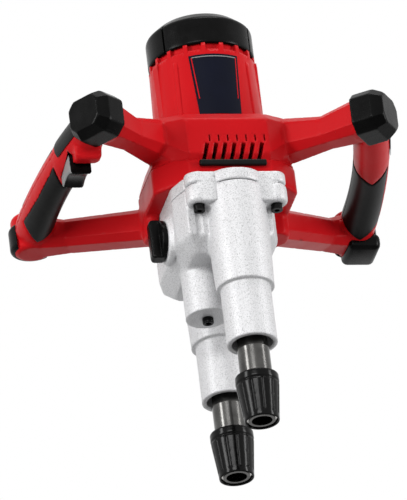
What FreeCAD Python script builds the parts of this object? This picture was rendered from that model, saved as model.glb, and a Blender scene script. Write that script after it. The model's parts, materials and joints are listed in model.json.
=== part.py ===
import FreeCAD, Part
import math
import os

os.makedirs("parts", exist_ok=True)

# Fits
overrun = 1.0
running_fit = 0.05
plastic_gap = 0.4
body_gap = 0.35

# Chuck and spindle
spindle_spacing = 120.0
chuck_height = 48.0
chuck_ring_height = 8.0
chuck_ring_radius = 21.0
chuck_groove_depth = 1.2
chuck_groove_width = 1.6
sleeve_mouth_radius = 17.0
sleeve_lip_height = 3.0
sleeve_guide_height = 8.0
flute_count = 12
flute_depth = 1.6
nose_radius = 13.0
nose_rise = 1.5
clip_radius = 14.4
clip_thickness = 1.2
clip_recess_radius = 15.2
neck_radius = 15.5
neck_base_z = 38.0
socket_radius = 10.0
socket_depth = 30.0
hex_across_flats = 26.0
hex_height = 14.0

# Gearbox casting
neck_reveal = 35.0
tube_length = 59.0
tube_radius = 24.3
tube_mouth_depth = 14.0
barrel_length = 44.0
barrel_lip_radius = 28.0
barrel_radius = 29.5
casing_half_width = 57.0
casing_right_share = 0.74
casing_half_depth = 43.0
casing_height = 61.0
casing_wall = 4.0
casing_floor = 12.0
casing_corner = 14.0
boss_x = 38.0
boss_y = 70.0
boss_radius = 11.5
boss_length = 20.0
channel_radius = 7.0
web_step = 8.0
web_corner_y = 64.0
lay_boss_radius = 21.0
lay_boss_drop = 46.0
cover_thickness = 12.0

# Bearings and seals
bearing_land_share = 0.3
journal_radius = 12.0
bearing_radius = 20.0
bearing_width = 12.0
seal_width = 7.0
upper_bearing_drop = 6.0
small_bearing_radius = 13.0
needle_bearing_radius = 8.7
small_bearing_width = 9.0
small_journal_radius = 6.0
motor_bearing_radius = 14.0
motor_bearing_width = 10.0

# Gear train
spindle_teeth = 22
idler_teeth = 19
second_gear_teeth = 28
second_pinion_teeth = 12
second_module = 1.5
first_gear_teeth = 43
motor_pinion_teeth = 9
first_module = 1.0
pressure_angle = 20.0
addendum_share = 0.9
dedendum_share = 1.2
backlash_share = 0.09
gear_lift = 4.0
spindle_gear_width = 14.0
gear_step = 3.0
second_gear_width = 10.0
first_gear_width = 9.0
hub_height = 2.0
pin_seat_floor = 1.0

# Red housing
skirt_half_width = 71.0
skirt_half_depth = 62.0
skirt_corner = 30.0
skirt_height = 27.0
shoulder_height = 20.0
shoulder_inset = 7.0
ear_drop = 21.0
ear_chamfer = 6.0
ear_front_y = 10.0
motor_barrel_height = 108.0
motor_barrel_top_radius = 51.5
motor_barrel_flare = 3.0
motor_barrel_wall = 6.0
barrel_neck_height = 14.0
barrel_neck_step = 4.3
barrel_tooth_count = 18
barrel_tooth_width = 4.0
rib_width = 9.0
rib_proud = 1.6
rib_angle_deg = 18.0

# Yoke arms, given for the right side
bridge_y = -40.0
bridge_rise = 18.5
bridge_half_depth = 26.0
bridge_half_height = 29.5
arm_root_x = 66.0
arm_root_y = -36.0
arm_root_rise = 27.5
arm_root_half = 19.5
arm_elbow_x = 97.0
arm_elbow_y = -68.0
arm_elbow_rise = 20.0
arm_elbow_half = 14.5
knuckle_x = 133.0
knuckle_y = -98.0
knuckle_rise = 20.0
knuckle_half_width = 20.0
knuckle_half_height = 19.0
rear_root_x = 58.0
rear_root_y = 38.0
rear_root_drop = 26.0
rear_root_half = 16.5
rear_elbow_x = 128.0
rear_elbow_y = 98.0
rear_elbow_drop = 4.0
rear_elbow_half = 14.5
base_x = 160.0
base_y = 112.0
base_rise = 4.0
base_half = 19.0
arm_chamfer_share = 0.42
knuckle_heading_deg = -46.0
arm_elbow_heading_deg = -44.0
arm_root_heading_deg = -22.0
rear_root_heading_deg = 40.0
rear_elbow_heading_deg = 24.0
base_heading_deg = 20.0

# Grips
grip_half_width = 18.0
grip_half_height = 20.0
grip_bow = 8.0
grip_pad_depth = 2.5
grip_station_shares = (0.0, 0.3, 0.6, 0.85, 1.0)
grip_swell_shares = (1.0, 0.98, 0.96, 0.99, 1.0)
pad_start_share = 0.34
pad_notch_share = 0.43
pad_end_share = 0.9
pad_strip = 2.5
bumper_heading_deg = -36.0
bumper_half_width = 24.0
bumper_half_height = 21.5
bumper_depth = 32.0
bumper_nose_share = 0.75
rear_bumper_radius = 22.0
rear_bumper_height = 26.0
rear_bumper_setback_share = 1.4

# Trigger, lock button, dial and inlet
trigger_share = 0.27
trigger_length = 38.0
trigger_width = 21.0
trigger_drop = 15.0
trigger_inside = 12.0
trigger_travel = 6.0
trigger_rise_share = 0.45
guard_length = 14.0
switch_length = 34.0
switch_width = 19.0
switch_height = 11.0
button_radius = 5.0
button_proud = 2.5
button_travel = 2.0
button_length = 9.0
button_flange = 1.2
dial_radius = 8.0
dial_width = 6.0
dial_proud = 2.5
dial_pin_radius = 1.5
dial_notches = 20
gland_radius = 8.0
gland_bore = 4.2
gland_length = 9.0

# Cap
cap_height = 42.0
cap_step = 4.3
cap_wall = 3.0
cap_shoulder_height = 28.0
cap_disc_radius = 27.0
cap_disc_height = 4.0
cap_slope_radius = 40.0
cap_groove_width = 2.2
cap_groove_depth = 2.4
cap_groove_angles_deg = (35.0, 145.0, 215.0, 325.0)

# Label plate
label_top_width = 48.0
label_base_width = 41.0
label_height = 66.0
label_thickness = 0.6
label_bond = 0.1
label_top_gap = 12.0

# Vents
vent_count = 7
vent_pitch = 9.0
vent_shift = 6.0
vent_drop = 7.5
vent_width = 4.0
vent_height = 18.0
vent_slit_width = 1.6
vent_slit_height = 7.0
vent_lean_deg = 14.0

# Motor
stator_bore_share = 0.615
stator_height = 66.0
coil_radius_share = 0.857
coil_height = 16.0
air_gap = 0.7
shaft_radius = 6.0
fan_radius_share = 0.923
fan_hub_radius = 14.0
fan_height = 12.0
fan_blades = 11
fan_blade_thickness = 2.0
fan_clear = 4.0
lower_coil_height = 6.0
commutator_radius = 15.0
commutator_height = 17.0
commutator_gap = 8.0
core_slot_depth = 8.0
core_slot_width = 1.6
brush_width = 7.0
brush_height = 10.0
brush_length = 19.0
holder_clear = 2.0
holder_wall = 2.0
bracket_thickness = 8.0
motor_seat_lift = 1.0

# Selector
selector_y = -14.0
selector_rise = 31.5
selector_ring_radius = 23.0
selector_ring_height = 5.0
selector_disc_radius = 20.0
selector_disc_height = 5.0
selector_bar_width = 13.0
selector_bar_height = 9.0
selector_shaft_radius = 7.0
selector_pin_radius = 2.5
selector_pin_offset = 4.0
selector_pin_reach = 3.0

# Screws
screw_radius = 3.0
screw_head_radius = 5.5
screw_head_height = 6.0
screw_hex_across = 5.0
screw_hex_depth = 3.0
screw_grip_length = 28.0
plug_length = 13.0
shell_screw_radius = 2.0
shell_screw_head_radius = 3.2
shell_screw_head_height = 3.0
shell_screw_length = 21.0
shell_screw_front_y = 4.0
shell_screw_rear_y = 21.0
shell_screw_edge = 1.0

# Levels along the spindle axis
tube_mouth_z = chuck_height + neck_reveal
barrel_lip_z = tube_mouth_z + tube_length
casing_base_z = barrel_lip_z + barrel_length
casing_top_z = casing_base_z + casing_height
cover_top_z = casing_top_z + cover_thickness
joint_z = cover_top_z + skirt_height
shoulder_z = joint_z + shoulder_height
cap_base_z = shoulder_z + motor_barrel_height
cap_top_z = cap_base_z + cap_height
floor_z = casing_base_z + casing_floor
spindle_gear_z = floor_z + gear_lift
second_gear_z = spindle_gear_z + spindle_gear_width + gear_step
first_gear_z = second_gear_z + second_gear_width + gear_step

# Shaft places in plan
front_y = -spindle_spacing / 2
rear_y = spindle_spacing / 2
spindle_module = spindle_spacing / (spindle_teeth + 2 * idler_teeth)
spindle_pitch = spindle_module * spindle_teeth / 2
idler_pitch = spindle_module * idler_teeth / 2
drive_y = front_y + spindle_pitch + idler_pitch
reverse_y = rear_y - spindle_pitch - idler_pitch
first_centres = first_module * (first_gear_teeth + motor_pinion_teeth) / 2
second_centres = second_module * (second_gear_teeth + second_pinion_teeth) / 2
lay_y = (second_centres ** 2 - first_centres ** 2 - drive_y ** 2) / (-2 * drive_y)
lay_x = -math.sqrt(first_centres ** 2 - lay_y ** 2)

nodes = {}


def vec(x, y, z):
    return FreeCAD.Vector(x, y, z)


def keep(name, *solids):
    nodes[name] = solids[0] if len(solids) == 1 else Part.makeCompound(solids)


def cyl(radius, base, top, x=0, y=0):
    return Part.makeCylinder(radius, top - base, vec(x, y, base))


def tube(outer, inner, base, top, x=0, y=0):
    return cyl(outer, base, top, x, y).cut(cyl(inner, base - overrun, top + overrun, x, y))


def cone(base_radius, top_radius, base, top, x=0, y=0):
    return Part.makeCone(base_radius, top_radius, top - base, vec(x, y, base))


def box(x0, y0, z0, x1, y1, z1):
    return Part.makeBox(x1 - x0, y1 - y0, z1 - z0, vec(x0, y0, z0))


def polygon(points):
    corners = list(points)
    return Part.makePolygon(corners + corners[:1])


def prism(plan, base, top):
    wire = polygon([vec(x, y, base) for x, y in plan])
    return Part.Face(wire).extrude(vec(0, 0, top - base))


def fuse(*solids):
    whole = solids[0]
    for solid in solids[1:]:
        whole = whole.fuse(solid)
    return whole


def largest(shape):
    return max(shape.Solids, key=lambda solid: solid.Volume)


def mirror(shape):
    return shape.mirror(vec(0, 0, 0), vec(1, 0, 0))


def hexagon(across, base, top, x=0, y=0):
    radius = across / math.sqrt(3)
    corners = [(x + radius * math.cos(math.radians(60 * k)), y + radius * math.sin(math.radians(60 * k)))
               for k in range(6)]
    return prism(corners, base, top)


def ring_of(shape, count, x=0, y=0):
    return [shape.rotated(vec(x, y, 0), vec(0, 0, 1), 360.0 * k / count) for k in range(count)]


def chamfered_plan(half_width, half_depth, corner):
    w, d, c = half_width, half_depth, corner
    right = [(w - c, -d), (w, -d + c), (w, d - c), (w - c, d)]
    return right + [(-x, -y) for x, y in right]


def section(point, heading_deg, half_width, half_height):
    """Eight-sided upright section across a heading given in plan."""
    across = vec(-math.sin(math.radians(heading_deg)), math.cos(math.radians(heading_deg)), 0)
    up = vec(0, 0, 1)
    cut = arm_chamfer_share * min(half_width, half_height)
    outline = chamfered_plan(half_width, half_height, cut)
    return polygon([point + across * a + up * b for a, b in outline])


def oval(point, across, half_width, half_height):
    """Upright elliptical section."""
    normal = across.cross(vec(0, 0, 1))
    place = FreeCAD.Matrix(
        across.x * half_width, 0, normal.x, point.x,
        across.y * half_width, 0, normal.y, point.y,
        0, half_height, normal.z, point.z,
        0, 0, 0, 1)
    return Part.Wire(Part.makeCircle(1).transformGeometry(place).Edges)


def loft(wires, ruled=True):
    return Part.makeLoft(wires, True, ruled)


# Gears
def involute(angle):
    return math.tan(angle) - angle


def gear(teeth, module, base, width, x, y, phase, bore):
    """Spur gear with a tooth centred on the phase angle, in radians."""
    pitch = module * teeth / 2
    inner = pitch * math.cos(math.radians(pressure_angle))
    root = pitch - dedendum_share * module
    tip = pitch + addendum_share * module
    half = (math.pi / 2 - backlash_share) / teeth + involute(math.radians(pressure_angle))
    start = max(inner, root)
    radii = [start, (start + pitch) / 2, pitch, (pitch + tip) / 2, tip]
    flank = [(r, half - involute(math.acos(min(1.0, inner / r)))) for r in radii]
    if root < inner:
        flank.insert(0, (root, half))
    outline = []
    for k in range(teeth):
        centre = phase + 2 * math.pi * k / teeth
        sides = [(r, centre - a) for r, a in flank] + [(r, centre + a) for r, a in reversed(flank)]
        outline += [(x + r * math.cos(a), y + r * math.sin(a)) for r, a in sides]
    blank = prism(outline, base, base + width)
    return blank.cut(cyl(bore, base - overrun, base + width + overrun, x, y)) if bore else blank


def meshed(direction, phase, teeth, other_teeth):
    """Phase of a gear in mesh with one at the given phase, along the line of centres."""
    past = (direction - phase) / (2 * math.pi / teeth)
    return direction + math.pi + (past - 0.5) * 2 * math.pi / other_teeth


along_y = math.pi / 2
front_phase = along_y
drive_phase = meshed(along_y, front_phase, spindle_teeth, idler_teeth)
reverse_phase = meshed(along_y, drive_phase, idler_teeth, idler_teeth)
rear_phase = meshed(along_y, reverse_phase, idler_teeth, spindle_teeth)
second_phase = drive_phase
to_lay = math.atan2(lay_y - drive_y, lay_x)
lay_phase = meshed(to_lay, second_phase, second_gear_teeth, second_pinion_teeth)
to_motor = math.atan2(-lay_y, -lay_x)
motor_phase = meshed(to_motor, lay_phase, first_gear_teeth, motor_pinion_teeth)

# Spindles, gears on them and quick chucks
hex_base_z = tube_mouth_z - hex_height / 2
seal_z = tube_mouth_z + tube_mouth_depth
lower_bearing_z = seal_z + seal_width
upper_bearing_z = casing_base_z - upper_bearing_drop - bearing_width
spindle_gear_top_z = spindle_gear_z + spindle_gear_width
spindle_top_z = spindle_gear_top_z + hub_height
ring_base_z = chuck_height - chuck_ring_height
clip_z = nose_rise + clip_thickness
guide_base_z = clip_z + clip_thickness + body_gap
guide_top_z = guide_base_z + sleeve_guide_height


def make_spindle(y):
    shaft = fuse(
        cyl(nose_radius, nose_rise, neck_base_z, 0, y),
        cyl(neck_radius, neck_base_z, hex_base_z, 0, y),
        hexagon(hex_across_flats, hex_base_z, hex_base_z + hex_height, 0, y),
        cyl(journal_radius, hex_base_z + hex_height, spindle_top_z, 0, y))
    return shaft.cut(cyl(socket_radius, 0, nose_rise + socket_depth, 0, y))


def make_sleeve(y):
    body = fuse(
        cyl(sleeve_mouth_radius, 0, sleeve_lip_height, 0, y),
        cone(sleeve_mouth_radius, chuck_ring_radius, sleeve_lip_height, ring_base_z, 0, y),
        cyl(chuck_ring_radius, ring_base_z, chuck_height, 0, y))
    groove = tube(chuck_ring_radius + overrun, chuck_ring_radius - chuck_groove_depth,
                  ring_base_z - chuck_groove_width, ring_base_z, 0, y)
    widening = chuck_ring_radius - sleeve_mouth_radius
    taper = math.degrees(math.atan2(widening, ring_base_z - sleeve_lip_height))
    length = ring_base_z - chuck_groove_width - 2 * sleeve_lip_height
    flute = Part.makeCylinder(flute_depth, length, vec(0, 0, 0), vec(0, 0, 1))
    flute = flute.rotated(vec(0, 0, 0), vec(0, 1, 0), taper)
    flute = flute.translated(vec(sleeve_mouth_radius + flute_depth / 2, y, 2 * sleeve_lip_height))
    body = body.cut([groove] + ring_of(flute, flute_count, 0, y))
    return body.cut(fuse(
        cyl(clip_recess_radius, -overrun, guide_base_z, 0, y),
        cyl(nose_radius + running_fit, 0, chuck_height, 0, y),
        cyl(neck_radius + running_fit, guide_top_z, chuck_height + overrun, 0, y)))


def make_clip(y):
    return tube(clip_radius, nose_radius, clip_z, clip_z + clip_thickness, 0, y)


def make_seal(y):
    return tube(bearing_radius, journal_radius + running_fit, seal_z, seal_z + seal_width, 0, y)


def make_bearing(radius, bore, base, width, x, y):
    """Ball bearing with grooved side faces between its two rings."""
    land = (radius - bore) * bearing_land_share
    depth = width * bearing_land_share / 2
    ring = tube(radius, bore + running_fit, base, base + width, x, y)
    for low in (base - overrun, base + width - depth):
        ring = ring.cut(tube(radius - land, bore + land, low, low + depth + overrun * (low < base), x, y))
    return ring


for side, y, phase in (("front", front_y, front_phase), ("rear", rear_y, rear_phase)):
    keep(side + "_spindle", make_spindle(y))
    keep(side + "_spindle_gear", gear(spindle_teeth, spindle_module, spindle_gear_z, spindle_gear_width,
                                      0, y, phase, journal_radius))
    keep(side + "_chuck_sleeve", make_sleeve(y))
    keep(side + "_chuck_clip", make_clip(y))
    keep(side + "_shaft_seal", make_seal(y))
    keep(side + "_spindle_bearings",
         make_bearing(bearing_radius, journal_radius, lower_bearing_z, bearing_width, 0, y),
         make_bearing(bearing_radius, journal_radius, upper_bearing_z, bearing_width, 0, y))

# Layshafts and idler
pocket_z = floor_z - small_bearing_width
first_top_z = first_gear_z + first_gear_width
cover_pocket_top_z = casing_top_z + small_bearing_width

shaft_base_z = pocket_z + body_gap
shaft_end_z = cover_pocket_top_z - body_gap
keep("drive_shaft", cyl(small_journal_radius, shaft_base_z, shaft_end_z, 0, drive_y))
keep("drive_idler_gear", gear(idler_teeth, spindle_module, spindle_gear_z, spindle_gear_width,
                              0, drive_y, drive_phase, small_journal_radius))
keep("second_stage_gear", gear(second_gear_teeth, second_module, second_gear_z, second_gear_width,
                               0, drive_y, second_phase, small_journal_radius))
keep("layshaft", fuse(
    cyl(small_journal_radius, shaft_base_z, shaft_end_z, lay_x, lay_y),
    gear(second_pinion_teeth, second_module, second_gear_z, second_gear_width + hub_height,
         lay_x, lay_y, lay_phase, 0)))
keep("first_stage_gear", gear(first_gear_teeth, first_module, first_gear_z, first_gear_width,
                              lay_x, lay_y, lay_phase, small_journal_radius))
keep("reverse_idler_gear", gear(idler_teeth, spindle_module, spindle_gear_z, spindle_gear_width,
                                0, reverse_y, reverse_phase, small_journal_radius + running_fit))
idler_clip_z = spindle_gear_top_z + body_gap
keep("reverse_idler_pin", fuse(
    cyl(small_journal_radius, casing_base_z + pin_seat_floor, idler_clip_z, 0, reverse_y),
    cyl(small_journal_radius + hub_height, idler_clip_z, idler_clip_z + hub_height, 0, reverse_y),
    cyl(small_journal_radius + hub_height, floor_z, spindle_gear_z - body_gap, 0, reverse_y)))
bearing_seats = [
    (small_bearing_radius, pocket_z, 0, drive_y),
    (needle_bearing_radius, casing_top_z, 0, drive_y),
    (small_bearing_radius, pocket_z, lay_x, lay_y),
    (small_bearing_radius, casing_top_z, lay_x, lay_y)]
keep("layshaft_bearings", *[make_bearing(radius, small_journal_radius, base, small_bearing_width, x, y)
                            for radius, base, x, y in bearing_seats])


# Cast gearbox
def casing_plan(grow):
    left, right = -casing_half_width - grow, casing_half_width * casing_right_share + grow
    d, cy = casing_half_depth, web_corner_y + grow
    right_side = [(right - web_step, -cy), (right, -d), (right, d), (right - web_step, cy)]
    left_side = [(left + web_step, cy), (left, d), (left, -d), (left + web_step, -cy)]
    return right_side + left_side


selector_z = casing_base_z + selector_rise
selector_ring_x = -casing_half_width - selector_ring_height
boss_base_z = casing_top_z - boss_length
motor_bearing_z = cover_top_z + motor_seat_lift
motor_hub_z = motor_bearing_z + motor_bearing_width
boss_places = [(sx * boss_x, sy * boss_y) for sx in (-1, 1) for sy in (-1, 1)]


def cross_x(radius, x0, x1, y, z):
    return Part.makeCylinder(radius, x1 - x0, vec(x0, y, z), vec(1, 0, 0))


def make_casing():
    block = prism(casing_plan(0), casing_base_z, casing_top_z)
    low_edges = [edge for edge in block.Edges if edge.BoundBox.ZMax < casing_base_z + overrun]
    block = block.makeChamfer(casing_corner, low_edges)
    outer = [block]
    for y in (front_y, rear_y):
        outer.append(cyl(tube_radius, tube_mouth_z, barrel_lip_z, 0, y))
        outer.append(cone(barrel_lip_radius, barrel_radius, barrel_lip_z, casing_base_z, 0, y))
        outer.append(cyl(barrel_radius, casing_base_z, casing_top_z, 0, y))
    for x, y in boss_places:
        outer.append(cyl(boss_radius, boss_base_z, casing_top_z, x, y))
    outer.append(cyl(lay_boss_radius, casing_base_z - lay_boss_drop, floor_z, lay_x, lay_y))
    outer.append(cyl(small_bearing_radius + casing_wall, pocket_z - casing_wall, floor_z, 0, drive_y))
    outer.append(cross_x(selector_ring_radius, selector_ring_x, -casing_half_width + casing_wall / 2,
                         selector_y, selector_z))
    body = fuse(*outer)
    inner = [prism(casing_plan(-casing_wall), floor_z, casing_top_z + overrun)]
    for y in (front_y, rear_y):
        inner.append(cyl(barrel_radius - casing_wall, floor_z, casing_top_z + overrun, 0, y))
        inner.append(cyl(bearing_radius, tube_mouth_z - overrun, floor_z + overrun, 0, y))
    for x, y in ((0, drive_y), (lay_x, lay_y)):
        inner.append(cyl(small_bearing_radius, pocket_z, floor_z + overrun, x, y))
    for x, y in boss_places:
        inner.append(cyl(screw_radius + running_fit, boss_base_z - overrun, casing_top_z + overrun, x, y))
        inner.append(cyl(channel_radius, casing_base_z - overrun, boss_base_z, x, y))
    inner.append(cyl(small_journal_radius, casing_base_z + pin_seat_floor, floor_z + overrun, 0, reverse_y))
    inner.append(cyl(screw_radius, casing_base_z - lay_boss_drop - overrun,
                     casing_base_z - lay_boss_drop + plug_length, lay_x, lay_y))
    inner.append(cross_x(selector_shaft_radius + running_fit, selector_ring_x - overrun,
                         -casing_half_width + casing_wall + overrun, selector_y, selector_z))
    return body.cut(fuse(*inner))


def make_cover():
    """Flat cover with the upper shaft seats and a raised hub for the lower motor bearing."""
    outer = [prism(casing_plan(0), casing_top_z, cover_top_z),
             cyl(motor_bearing_radius + casing_wall, cover_top_z, motor_hub_z)]
    outer += [cyl(barrel_radius, casing_top_z, cover_top_z, 0, y) for y in (front_y, rear_y)]
    outer += [cyl(boss_radius, casing_top_z, cover_top_z, x, y) for x, y in boss_places]
    cuts = [cyl(radius, casing_top_z - overrun, cover_pocket_top_z, x, y)
            for radius, base, x, y in bearing_seats if base == casing_top_z]
    cuts += [cyl(screw_radius, casing_top_z - overrun, boss_base_z + screw_grip_length, x, y)
             for x, y in boss_places]
    cuts.append(cyl(motor_bearing_radius, motor_bearing_z, motor_hub_z + overrun))
    cuts.append(cyl(shaft_radius + body_gap, casing_top_z - overrun, motor_hub_z))
    return fuse(*outer).cut(cuts)


def make_screw(x, y, seat_z, length):
    """Socket-head screw pointing up, with its head under its seat."""
    head_base = seat_z - screw_head_height
    screw = fuse(cyl(screw_head_radius, head_base, seat_z, x, y),
                 cyl(screw_radius, seat_z, seat_z + length, x, y))
    return screw.cut(hexagon(screw_hex_across, head_base - overrun, head_base + screw_hex_depth, x, y))


keep("gearbox_casing", make_casing())
keep("gearbox_cover", make_cover())
keep("gearbox_screws", *[make_screw(x, y, boss_base_z, screw_grip_length) for x, y in boss_places])
keep("grease_plug", make_screw(lay_x, lay_y, casing_base_z - lay_boss_drop, plug_length))


# Gear selector, turning about the X axis
def make_selector():
    face_x = selector_ring_x - body_gap
    disc = cross_x(selector_disc_radius, face_x - selector_disc_height, face_x, selector_y, selector_z)
    disc = disc.makeFillet(selector_disc_height / 4, disc.Edges)
    bar = box(face_x - selector_disc_height - selector_bar_height, selector_y - selector_bar_width / 2,
              selector_z - selector_disc_radius, face_x - selector_disc_height / 2,
              selector_y + selector_bar_width / 2, selector_z + selector_disc_radius)
    bar = bar.makeFillet(selector_bar_width / 4, [edge for edge in bar.Edges
                                                  if edge.BoundBox.XMax < face_x - selector_disc_height])
    shaft_end = -casing_half_width + casing_wall + body_gap
    shaft = cross_x(selector_shaft_radius, face_x - selector_disc_height / 2, shaft_end,
                    selector_y, selector_z)
    pin = cross_x(selector_pin_radius, shaft_end, shaft_end + selector_pin_reach,
                  selector_y, selector_z + selector_pin_offset)
    return fuse(disc, bar, shaft, pin)


keep("selector_knob", make_selector())


# Handle geometry shared by both red shells
def at(x, y, rise):
    return vec(x, y, joint_z + rise)


knuckle = at(knuckle_x, knuckle_y, knuckle_rise)
grip_end = at(base_x, base_y, base_rise)
grip_fall = (grip_end.z - knuckle.z) / (grip_end.y - knuckle.y)


def grip_point(share):
    point = knuckle + (grip_end - knuckle) * share
    return point + vec(grip_bow * 4 * share * (1 - share), 0, 0)


def grip_loft(inset):
    along = (grip_end - knuckle).normalize()
    across = vec(along.y, -along.x, 0).normalize()
    wires = [oval(grip_point(share), across, grip_half_width * swell - inset,
                  grip_half_height * swell - inset)
             for share, swell in zip(grip_station_shares, grip_swell_shares)]
    return loft(wires, False)


def puck(x, y, mid_z, radius, half_height, rounding):
    block = cyl(radius, mid_z - half_height, mid_z + half_height, x, y)
    return block.makeFillet(rounding, [edge for edge in block.Edges if len(edge.Vertexes) == 1])


def half_space(above):
    """Everything above or below the plane that parts the two handle shells."""
    reach = base_x + base_y
    far = cap_top_z if above else 0
    parting = [(y, knuckle.z + (y - knuckle.y) * grip_fall) for y in (-reach, reach)]
    wire = polygon([vec(-2 * reach, y, z) for y, z in parting + [(reach, far), (-reach, far)]])
    return Part.Face(wire).extrude(vec(4 * reach, 0, 0))


upper_space = half_space(True)
lower_space = half_space(False)
grip_full = grip_loft(0)
grip_core = grip_loft(grip_pad_depth)
knuckle_block = puck(knuckle_x, knuckle_y, knuckle.z, knuckle_half_width, knuckle_half_height,
                     knuckle_half_width / 3)
base_block = puck(base_x, base_y, grip_end.z, base_half, grip_half_height, base_half / 3)


def pad_zone(top):
    """Plan outline of a grip pad: notched at its front, round at its rear."""
    start, notch, end = (grip_point(s) for s in (pad_start_share, pad_notch_share, pad_end_share))
    inner = 2 * grip_half_width
    outer = grip_half_width - pad_strip
    turn_y = end.y - grip_half_width
    plan = [(start.x - inner, start.y), (notch.x, notch.y), (start.x + outer, start.y),
            (end.x + outer, turn_y), (end.x, end.y), (end.x - inner, turn_y)]
    return prism(plan, 0, cap_top_z).common(upper_space if top else lower_space)


def make_pad(top):
    core = grip_core.common(upper_space if top else lower_space)
    return largest(grip_full.common(pad_zone(top)).cut(core))


upper_pad = make_pad(True)
lower_pad = make_pad(False)


# Arms
def front_yoke():
    stations = [
        (knuckle_x, knuckle_y, knuckle_rise, knuckle_half_width, knuckle_half_height,
         knuckle_heading_deg),
        (arm_elbow_x, arm_elbow_y, arm_elbow_rise, arm_elbow_half, arm_elbow_half, arm_elbow_heading_deg),
        (arm_root_x, arm_root_y, arm_root_rise, arm_root_half, arm_root_half, arm_root_heading_deg),
        (arm_root_x - bridge_half_depth, bridge_y, bridge_rise, bridge_half_depth, bridge_half_height, 0)]
    left = [section(at(-x, y, rise), -heading, w, h) for x, y, rise, w, h, heading in stations]
    right = [section(at(x, y, rise), heading, w, h) for x, y, rise, w, h, heading in reversed(stations)]
    return loft(left + right)


def rear_arm():
    stations = [
        (rear_root_x, rear_root_y, -rear_root_drop, rear_root_half, rear_root_heading_deg),
        (rear_elbow_x, rear_elbow_y, -rear_elbow_drop, rear_elbow_half, rear_elbow_heading_deg),
        (base_x, base_y, base_rise, base_half, base_heading_deg)]
    return loft([section(at(x, y, rise), heading, half, half) for x, y, rise, half, heading in stations])


def both(shape):
    return [shape, mirror(shape)]


yoke = front_yoke()
rear_arms = both(rear_arm())
fronts = [yoke] + both(knuckle_block)
rears = rear_arms + both(base_block)
grips_above = both(grip_full.common(upper_space).cut(rears))
grips_below = both(grip_full.common(lower_space).cut(fronts))
pads = both(upper_pad) + both(lower_pad)
bore_radius = motor_barrel_top_radius - motor_barrel_wall

# Left handle controls
trigger_place = grip_point(trigger_share)
trigger_x = -trigger_place.x
trigger_base_z = trigger_place.z - grip_half_height - trigger_drop
trigger_top_z = trigger_place.z - grip_half_height + trigger_inside - trigger_travel
switch_z = trigger_top_z + trigger_travel + plastic_gap


def centred_box(x, y, base, width, length, top):
    return box(x - width / 2, y - length / 2, base, x + width / 2, y + length / 2, top)


trigger_pocket = centred_box(trigger_x, trigger_place.y, trigger_base_z, trigger_width + 2 * plastic_gap,
                             trigger_length + 2 * plastic_gap, switch_z)
switch_module = centred_box(trigger_x, trigger_place.y, switch_z, switch_width, switch_length,
                            switch_z + switch_height)


def make_trigger():
    """Finger lever with a hollowed face, plunging straight into the grip."""
    front = trigger_place.y - trigger_length / 2
    rear = trigger_place.y + trigger_length / 2
    mid_z = trigger_base_z + trigger_drop * trigger_rise_share
    hollow = Part.Arc(vec(trigger_x, front, trigger_base_z), vec(trigger_x, trigger_place.y, mid_z),
                      vec(trigger_x, rear, trigger_base_z + trigger_drop / 3)).toShape()
    corners = [vec(trigger_x, rear, trigger_base_z + trigger_drop / 3), vec(trigger_x, rear, trigger_top_z),
               vec(trigger_x, front, trigger_top_z), vec(trigger_x, front, trigger_base_z)]
    outline = Part.Wire([hollow] + Part.makePolygon(corners).Edges)
    lever = Part.Face(outline).extrude(vec(trigger_width, 0, 0)).translated(vec(-trigger_width / 2, 0, 0))
    edges = [e for e in lever.Edges if abs(e.BoundBox.XLength) < overrun and e.BoundBox.ZMin < mid_z
             and e.BoundBox.YLength > trigger_length / 2]
    return lever.makeFillet(trigger_width / 6, edges)


guard_y = trigger_place.y - trigger_length / 2 - plastic_gap
guard_x = -grip_point(trigger_share / 2).x
guard_z = trigger_place.z - grip_half_height - trigger_drop / 3
trigger_guard = centred_box(guard_x, guard_y - guard_length / 2, guard_z, trigger_width + 2 * grip_pad_depth,
                            guard_length, trigger_place.z)
trigger_guard = trigger_guard.makeChamfer(grip_pad_depth, [e for e in trigger_guard.Edges
                                                           if e.BoundBox.ZMax < trigger_place.z - overrun])

button_place = grip_point(trigger_share / 2)
button_x = -button_place.x
button_top_z = button_place.z + grip_half_height + button_proud
button_base_z = button_top_z - button_proud - button_length
flange_radius = button_radius + button_flange
flange_top_z = button_base_z + button_flange
button = fuse(cyl(button_radius, button_base_z, button_top_z, button_x, button_place.y),
              cyl(flange_radius, button_base_z, flange_top_z, button_x, button_place.y))
button_pocket = fuse(
    cyl(button_radius + plastic_gap, button_base_z, button_top_z + overrun, button_x, button_place.y),
    cyl(flange_radius + plastic_gap, button_base_z - button_travel - body_gap, flange_top_z + body_gap,
        button_x, button_place.y))

dial_place = grip_point(trigger_share)
dial_z = dial_place.z + grip_half_height + dial_proud - dial_radius
dial = cross_x(dial_radius, trigger_x - dial_width / 2, trigger_x + dial_width / 2, dial_place.y, dial_z)
notch = cross_x(dial_width / 8, trigger_x - dial_width, trigger_x + dial_width,
                dial_place.y, dial_z + dial_radius)
notches = [notch.rotated(vec(trigger_x, dial_place.y, dial_z), vec(1, 0, 0), 360.0 * k / dial_notches)
           for k in range(dial_notches)]
dial_pin = cross_x(dial_pin_radius, trigger_x - dial_width, trigger_x + dial_width, dial_place.y, dial_z)
dial_bore = cross_x(dial_pin_radius + running_fit, trigger_x - dial_width, trigger_x + dial_width,
                    dial_place.y, dial_z)
dial_room = dial_radius + plastic_gap
dial_pocket = centred_box(trigger_x, dial_place.y, dial_z - dial_room, dial_width + 2 * plastic_gap,
                          2 * dial_room, dial_z + 2 * dial_radius)

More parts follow.
